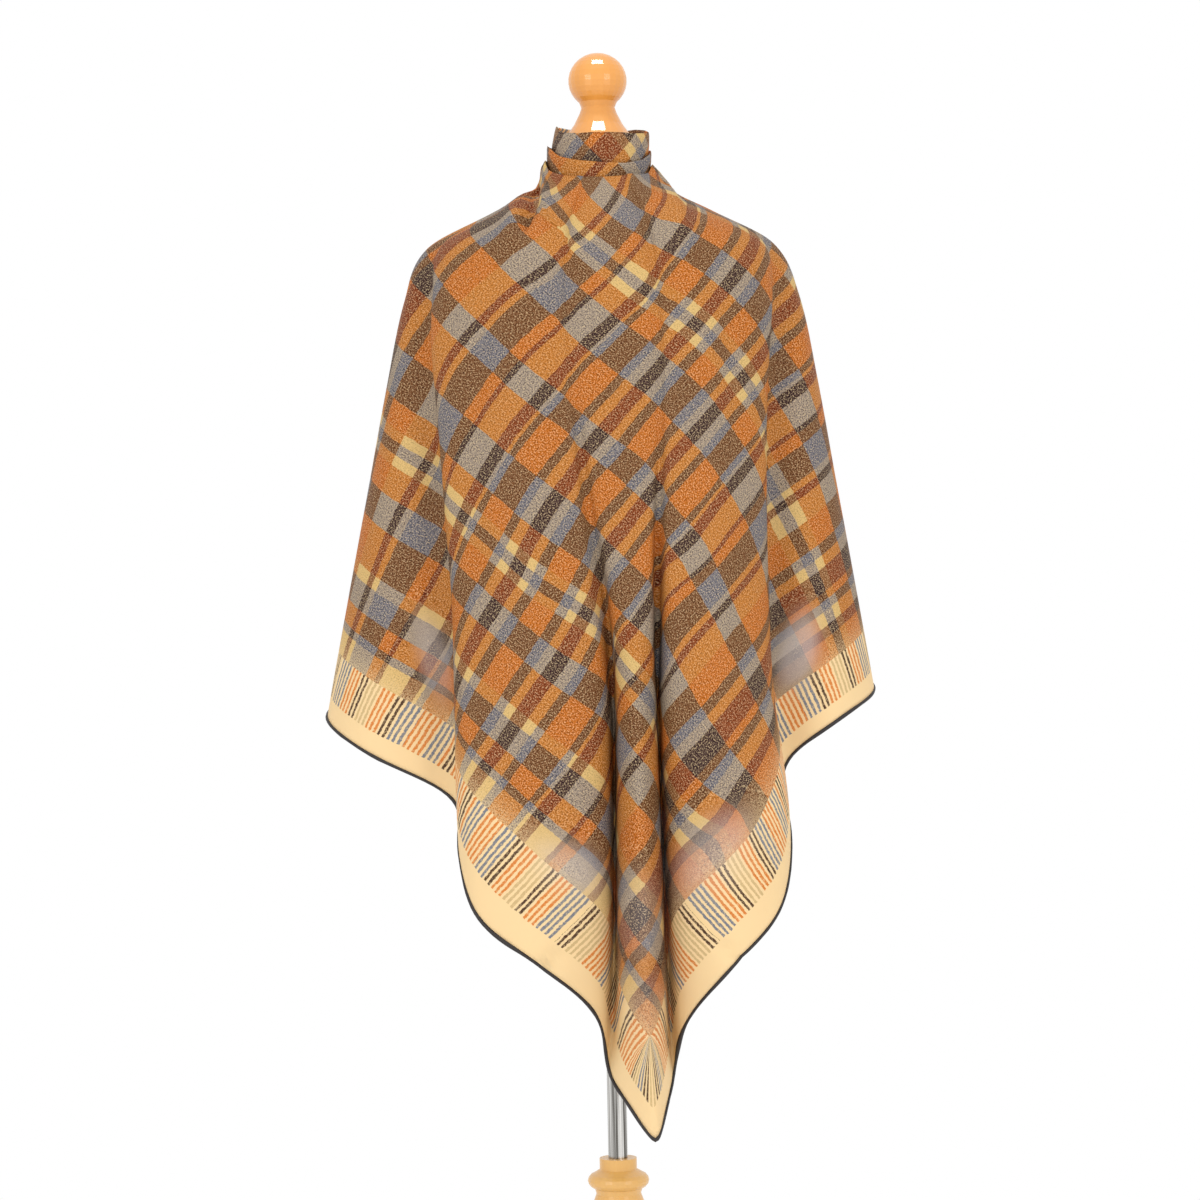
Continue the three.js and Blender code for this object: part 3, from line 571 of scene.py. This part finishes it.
def silk():
    paint = Paint("silk")
    cut = paint.node("Attribute", {"attribute_name": "cut"}).outputs["Vector"]
    half = SIDE_LENGTH / 2
    wobble = paint.noise(cut, 95.0, 2.0)
    split = paint.node("SeparateXYZ", Vector=cut)
    drift = paint.math("MULTIPLY", paint.math("SUBTRACT", wobble, 0.5), 2.6)

    def from_edge(value):
        millimetres = paint.math("MULTIPLY", value, 1000.0)
        return paint.math("SUBTRACT", half, paint.math("ABSOLUTE", paint.math("SUBTRACT", millimetres, half)))

    u, v = from_edge(split.outputs[0]), from_edge(split.outputs[1])
    uw, vw = paint.math("ADD", u, drift), paint.math("ADD", v, drift)
    scale_u = (half - BORDER) / sum(width for _, width in BARS_U)
    scale_v = (half - BORDER) / sum(width for _, width in BARS_V)
    numbers = {key: (k / 4, k / 4, k / 4, 1.0) for k, key in enumerate(DYES)}
    bar_u = paint.ramp(paint.math("DIVIDE", uw, half), stops(BARS_U, numbers, BORDER, half, scale_u))
    bar_v = paint.ramp(paint.math("DIVIDE", vw, half), stops(BARS_V, numbers, BORDER, half, scale_v))
    pair = paint.math("ADD", paint.math("ADD", bar_u, paint.math("DIVIDE", bar_v, 4.0)), 0.5 / 16)
    table = []
    for k, first in enumerate(DYES):
        for n, second in enumerate(DYES):
            tint, strength = PAIRS.get(first + second) or PAIRS[second + first]
            table.append(((4 * k + n) / 16, rgb(*tint)[:3] + (strength / 2,)))
    chosen = paint.node("ValToRGB", i0=pair)
    paint.fill(chosen.color_ramp, table)
    tint, strength = chosen.outputs[0], paint.math("MULTIPLY", chosen.outputs[1], 2.0)
    edge, place_on_edge = paint.math("MINIMUM", u, v), paint.math("MAXIMUM", uw, vw)
    # darker and lighter grains, and near the border the plaid is sprayed with cream
    grain = paint.noise(cut, 660.0, 1.5, 0.65)
    deep = paint.math("MULTIPLY", paint.rise(grain, 0.5, 0.36), strength)
    pale = paint.math("MULTIPLY", paint.rise(grain, 0.52, 0.66), strength)
    deepened = paint.mix(1.0, tint, rgb(120, 102, 96), "MULTIPLY")
    plaid = paint.mix(paint.math("MULTIPLY", deep, 0.75), tint, deepened)
    plaid = paint.mix(paint.math("MULTIPLY", pale, 0.5), plaid, CREAM)
    near = paint.rise(edge, BORDER + 30, BORDER)
    drops = paint.math("ADD", paint.noise(cut, 640.0, 1.0, 0.5), paint.math("MULTIPLY", near, 0.12))
    spray = paint.math("GREATER_THAN", drops, 0.58)
    plaid = paint.mix(paint.math("MULTIPLY", paint.math("MULTIPLY", spray, near), 0.42), plaid, CREAM)
    # the fence of short lines square to the hem
    group = paint.ramp(paint.math("DIVIDE", place_on_edge, half),
                       stops([(key, count * PITCH) for key, count in FENCE], FENCE_TINTS, BORDER, half))
    phase = paint.math("FRACT", paint.math("DIVIDE", paint.math("SUBTRACT", place_on_edge, BORDER), PITCH))
    ragged = paint.math("MULTIPLY", paint.math("SUBTRACT", paint.noise(cut, 480.0, 1.0, 0.5), 0.5), 0.35)
    off_line = paint.math("ABSOLUTE", paint.math("SUBTRACT", phase, 0.5))
    line = paint.math("LESS_THAN", paint.math("ADD", off_line, ragged), 0.25)
    short = paint.math("GREATER_THAN", paint.math("ADD", edge, paint.math("MULTIPLY", drift, 1.6)), BAND)
    dry = paint.rise(paint.noise(cut, 360.0, 2.0, 0.7), 0.34, 0.5, 0.55, 1.0)
    fence = paint.mix(paint.math("MULTIPLY", paint.math("MULTIPLY", line, short), dry), CREAM, group)
    # the fan that fills the corner
    corner_u, corner_v = paint.math("SUBTRACT", BORDER, uw), paint.math("SUBTRACT", BORDER, vw)
    angle = paint.math("ARCTAN2", corner_u, corner_v)
    spoke_phase = paint.math("FRACT", paint.math("MULTIPLY", angle, 22 / (math.pi / 2)))
    spoke = paint.math("LESS_THAN", paint.math("ABSOLUTE", paint.math("SUBTRACT", spoke_phase, 0.5)), 0.26)
    spoke = paint.math("MULTIPLY", paint.math("MULTIPLY", spoke, short), dry)
    from_middle = paint.math("ABSOLUTE", paint.math("SUBTRACT", angle, math.pi / 4))
    fan_group = paint.ramp(paint.math("DIVIDE", from_middle, math.pi / 4), [
        (0.0, FENCE_TINTS["G"]), (0.1, FENCE_TINTS["K"]), (0.27, FENCE_TINTS["B"]), (0.45, FENCE_TINTS["G"]),
        (0.6, FENCE_TINTS["K"]), (0.75, FENCE_TINTS["O"])])
    fan = paint.mix(spoke, CREAM, fan_group)
    in_corner = paint.math("LESS_THAN", paint.math("MAXIMUM", u, v), BORDER)
    border = paint.mix(in_corner, fence, fan)
    drifted = paint.math("ADD", edge, paint.math("MULTIPLY", drift, 0.5))
    in_border = paint.math("LESS_THAN", drifted, BORDER - 2)
    dye = paint.mix(in_border, plaid, border)
    inked = paint.math("LESS_THAN", edge, 1.2)
    dye = paint.mix(inked, dye, INK)

    # painted backlight: pale patches where light from behind would shine through, weaker inside the border
    through = paint.math("MULTIPLY", split.outputs[2], paint.rise(edge, BORDER - 6, BORDER + 6, 0.4, 1.0))
    dye = paint.mix(through, dye, PAINTED_BACKLIGHT_TINT)

    weave = paint.node("Bump", Strength=0.12, Distance=0.0004, Height=paint.noise(cut, 1400.0, 1.0))
    shine = paint.node("BsdfPrincipled", Base_Color=dye, Roughness=0.55, Specular_IOR_Level=0.14,
                       Normal=weave.outputs[0])
    glow = paint.node("BsdfTranslucent", Color=dye)
    both = paint.node("MixShader", i0=0.2, i1=shine.outputs[0], i2=glow.outputs[0])
    sheer = paint.node("MixShader", i0=0.06, i1=both.outputs[0], i2=paint.node("BsdfTransparent").outputs[0])
    return paint.finish(sheer.outputs[0])


def rolled_edge():
    paint = Paint("rolled_hem")
    where = paint.node("TexCoord").outputs["Object"]
    bumpy = paint.node("Bump", Strength=0.5, Distance=0.0008, Height=paint.noise(where, 500.0, 2.0))
    shader = paint.node("BsdfPrincipled", Base_Color=INK, Roughness=0.55, Normal=bumpy.outputs[0])
    return paint.finish(shader.outputs[0])


def plain(name, color, roughness, metallic=0.0, coat=0.0, grain=None):
    paint = Paint(name)
    shader = paint.node("BsdfPrincipled", Roughness=roughness, Metallic=metallic, Coat_Weight=coat,
                        Coat_Roughness=0.08)
    if grain:
        where = paint.node("TexCoord").outputs["Object"]
        stretched = paint.node("Mapping", Vector=where, Scale=grain["stretch"])
        tone = paint.noise(stretched.outputs[0], grain["scale"], 4.0, 0.6)
        sharp = grain.get("sharp", 0.5)
        dye = paint.mix(paint.rise(tone, 0.5 - sharp, 0.5 + sharp), color, grain["other"])
        paint.tree.links.new(dye, shader.inputs["Base Color"])
    else:
        shader.inputs["Base Color"].default_value = color
    return paint.finish(shader.outputs[0])


# ---- the pieces ---------------------------------------------------------------------------------------
def clear_of_torso(grid, gap=2.2):
    """The cloth lies on the torso where it would sink into it."""
    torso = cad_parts["form_torso"]
    tree = BVHTree.FromObject(torso, bpy.context.evaluated_depsgraph_get())
    back = torso.matrix_world.inverted()
    out = grid.copy()
    for index in np.ndindex(grid.shape[:2]):
        if grid[index][2] < 1000:
            continue
        point = back @ Vector(place(grid[index]))
        spot, normal, _, distance = tree.find_nearest(point)
        height = (point - spot).dot(normal)
        if distance < 0.03 and height < gap * MM:
            moved = torso.matrix_world @ (point + normal * (gap * MM - height))
            out[index] = (np.array(moved) - AXIS) / MM
    return out


silk_finish = silk()
grid = cape_grid()
flat = pleated(grid, flat_places(grid))
grid = clear_of_torso(creased(grid))
cape = grid_mesh("cape", grid, flat)
cape.data.materials.append(silk_finish)
shell = cape.modifiers.new("shell", "SOLIDIFY")
shell.thickness, shell.offset = CLOTH * MM, -1.0
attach(cape, "root")
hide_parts("scarf_front_left", "scarf_front_middle", "scarf_front_right", "scarf_side_left",
            "scarf_side_right", "scarf_back_left", "scarf_back_right")

edge_points = np.concatenate([grid[6:-1, 0], grid[-1], grid[6:-1, -1][::-1]])
inner_points = np.concatenate([grid[6:-1, 1], grid[-2], grid[6:-1, -2][::-1]])
outward = edge_points - inner_points
outward /= np.linalg.norm(outward, axis=1, keepdims=True)
rng = np.random.default_rng(4)
lumps = np.convolve(rng.normal(0, 1, len(edge_points) + 4), [0.25, 0.5, 0.5, 0.5, 0.25], "valid")
hem = grid_mesh("rolled_hem", tube_grid(edge_points + outward * 0.6, HEM_RADIUS * (1 + 0.17 * lumps), 8),
                np.zeros((len(edge_points), 8, 2)), wrap_columns=True)
hem.data.materials.append(rolled_edge())
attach(hem, "root")
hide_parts("hem_front_left", "hem_front_right", "hem_side_left", "hem_side_right", "hem_back_left",
            "hem_back_right")


# A wind's cross-section, as the share of the way from its foot to its rim and how far out it stands there.
WIND_PROFILE = [(0.0, 0.0), (0.0, 1.2), (0.35, 1.5), (0.7, 1.4), (0.92, 1.3), (1.0, 0.7), (0.98, 0.0),
                (0.6, 0.0), (0.3, 0.0)]


def wind(name, node, levels, start):
    """A folded band of cloth round the neck. levels are tables of angle, radius and height from foot to rim,
    the front at 0; start is where its middle lies in the flat square: sideways, height, u and v."""
    count = 180
    angle = np.arange(count) * 2 * math.pi / count
    degrees = (np.degrees(angle) + 180) % 360 - 180
    rings = []
    for table in levels:
        turn, radius, height = np.array(table, float).T
        rings.append([np.interp(degrees, turn, values, period=360) for values in (radius, height)])
    grid_rows = []
    for share, out in WIND_PROFILE:
        at = share * (len(rings) - 1)
        k = min(int(at), len(rings) - 2)
        radius, height = ((1 - at + k) * low + (at - k) * high for low, high in zip(rings[k], rings[k + 1]))
        radius += out
        grid_rows.append(np.stack([radius * np.sin(angle), -(radius + 1) * np.cos(angle), height], axis=1))
    points = np.array(grid_rows)[::-1]
    for _ in range(3):
        points = 0.25 * np.roll(points, 1, 1) + 0.5 * points + 0.25 * np.roll(points, -1, 1)
    sideways, up, u, v = start
    w, d = 52 * np.radians(degrees)[None, :] - sideways, points[:, :, 2] - up
    flat = np.stack([u + (d - w) / math.sqrt(2), v + (d + w) / math.sqrt(2)], axis=-1)
    piece = grid_mesh(name, points, flat, wrap_rows=True, wrap_columns=True)
    piece.data.materials.append(silk_finish)
    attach(piece, "root")
    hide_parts(node)
    return piece


upper = wind("wind_upper", "neck_wind_upper", [
    [(-180, 47.6, 1418), (0, 47.6, 1418), (90, 47.6, 1418)],
    [(-180, 51.0, 1440), (-90, 51.5, 1440), (0, 49.5, 1438), (90, 52.5, 1440)],
    [(-180, 50.0, 1472), (-145, 49.0, 1475), (-125, 46.5, 1475), (-95, 45.0, 1473.5), (-78, 44.0, 1471.5),
     (-64, 45.5, 1466), (-50, 48.0, 1461.5), (-25, 49.5, 1459), (0, 50.0, 1459), (45, 51.0, 1459),
     (62, 52.0, 1460.5), (78, 53.5, 1462.5), (92, 53.5, 1465), (110, 52.0, 1470), (130, 51.0, 1473),
     (150, 50.0, 1473)],
], (9, 1443, 794, 614))
middle = wind("wind_middle", "neck_wind_middle", [
    [(-180, 50.3, 1404), (0, 50.3, 1404), (90, 50.3, 1404)],
    [(-180, 53.0, 1425), (-90, 55.0, 1428), (0, 51.6, 1414), (90, 54.0, 1425)],
    [(-180, 55.0, 1452), (-90, 54.5, 1453), (-72, 54.5, 1448), (-50, 54.0, 1436), (-25, 53.5, 1430),
     (0, 53.0, 1427), (30, 53.5, 1426), (55, 54.5, 1431), (75, 55.5, 1440), (100, 55.5, 1447)],
], (-22, 1428, 710, 752))

beech = plain("beech", rgb(228, 158, 74), 0.4, coat=0.6,
              grain={"stretch": (1, 1, 0.12), "scale": 60.0, "other": rgb(208, 136, 50)})
pale = plain("pale_wood", rgb(220, 174, 100), 0.4, coat=0.4,
             grain={"stretch": (1, 1, 0.12), "scale": 60.0, "other": rgb(204, 152, 76)})
# painted reflection: the pole's dark vertical streaks stand in for dark reflections in the polished metal
steel = plain("steel", rgb(232, 230, 226), 0.2, metallic=1.0,
              grain={"stretch": (1, 1, 0.01), "scale": 260.0, "other": rgb(62, 58, 50), "sharp": 0.14})
jersey = plain("jersey", rgb(228, 220, 204), 0.9,
               grain={"stretch": (1, 1, 1), "scale": 300.0, "other": rgb(214, 205, 188)})
FINISHES = {"form_torso": jersey, "form_finial": beech, "stand_pole": steel, "stand_post": pale,
            "stand_leg_1": pale, "stand_leg_2": pale, "stand_leg_3": pale}
for name, finish in FINISHES.items():
    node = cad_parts[name]
    for slot_in in node.material_slots:
        slot_in.material = finish

# ---- the room -----------------------------------------------------------------------------------------
bpy.ops.object.select_all(action="DESELECT")
bpy.ops.mesh.primitive_plane_add(size=3.0, location=(AXIS[0], AXIS[1], -0.0005))
floor = bpy.context.object
floor.name = "floor"
floor.data.materials.append(plain("floor", rgb(250, 250, 250), 0.9))

world = bpy.data.worlds.new("room")
bpy.context.scene.world = world
world.use_nodes = True
world.node_tree.nodes["Background"].inputs[0].default_value = (1, 1, 1, 1)
world.node_tree.nodes["Background"].inputs[1].default_value = 1.0


def softbox(name, degrees, height, distance, size, watts):
    angle = math.radians(degrees)
    spot = Vector((AXIS[0] + distance * math.sin(angle), AXIS[1] - distance * math.cos(angle), height))
    data = bpy.data.lights.new(name, "AREA")
    data.shape, data.size, data.size_y, data.energy = "RECTANGLE", size[0], size[1], watts
    lamp = bpy.data.objects.new(name, data)
    lamp.location = spot
    lamp.rotation_euler = (Vector((AXIS[0], AXIS[1], 1.0)) - spot).to_track_quat("-Z", "Y").to_euler()
    bpy.context.collection.objects.link(lamp)


softbox("softbox_left", -32, 1.5, 2.6, (0.6, 0.9), 14)
softbox("softbox_right", 32, 1.5, 2.6, (0.6, 0.9), 14)
softbox("spot_left", -30, 3.0, 0.40, (0.16, 0.16), 3)
softbox("spot_right", 30, 3.0, 0.40, (0.16, 0.16), 3)

camera_data = bpy.data.cameras.new("camera")
camera_data.sensor_width = 36.0
camera_data.lens = 97.7
camera = bpy.data.objects.new("camera", camera_data)
camera.location = place([-8, -3500, 963.4])
camera.rotation_euler = (math.radians(90), 0, 0)
camera.rotation_euler.rotate_axis("Z", math.radians(-1.1))
bpy.context.collection.objects.link(camera)
bpy.context.scene.camera = camera
bpy.context.scene.view_settings.view_transform = "Standard"
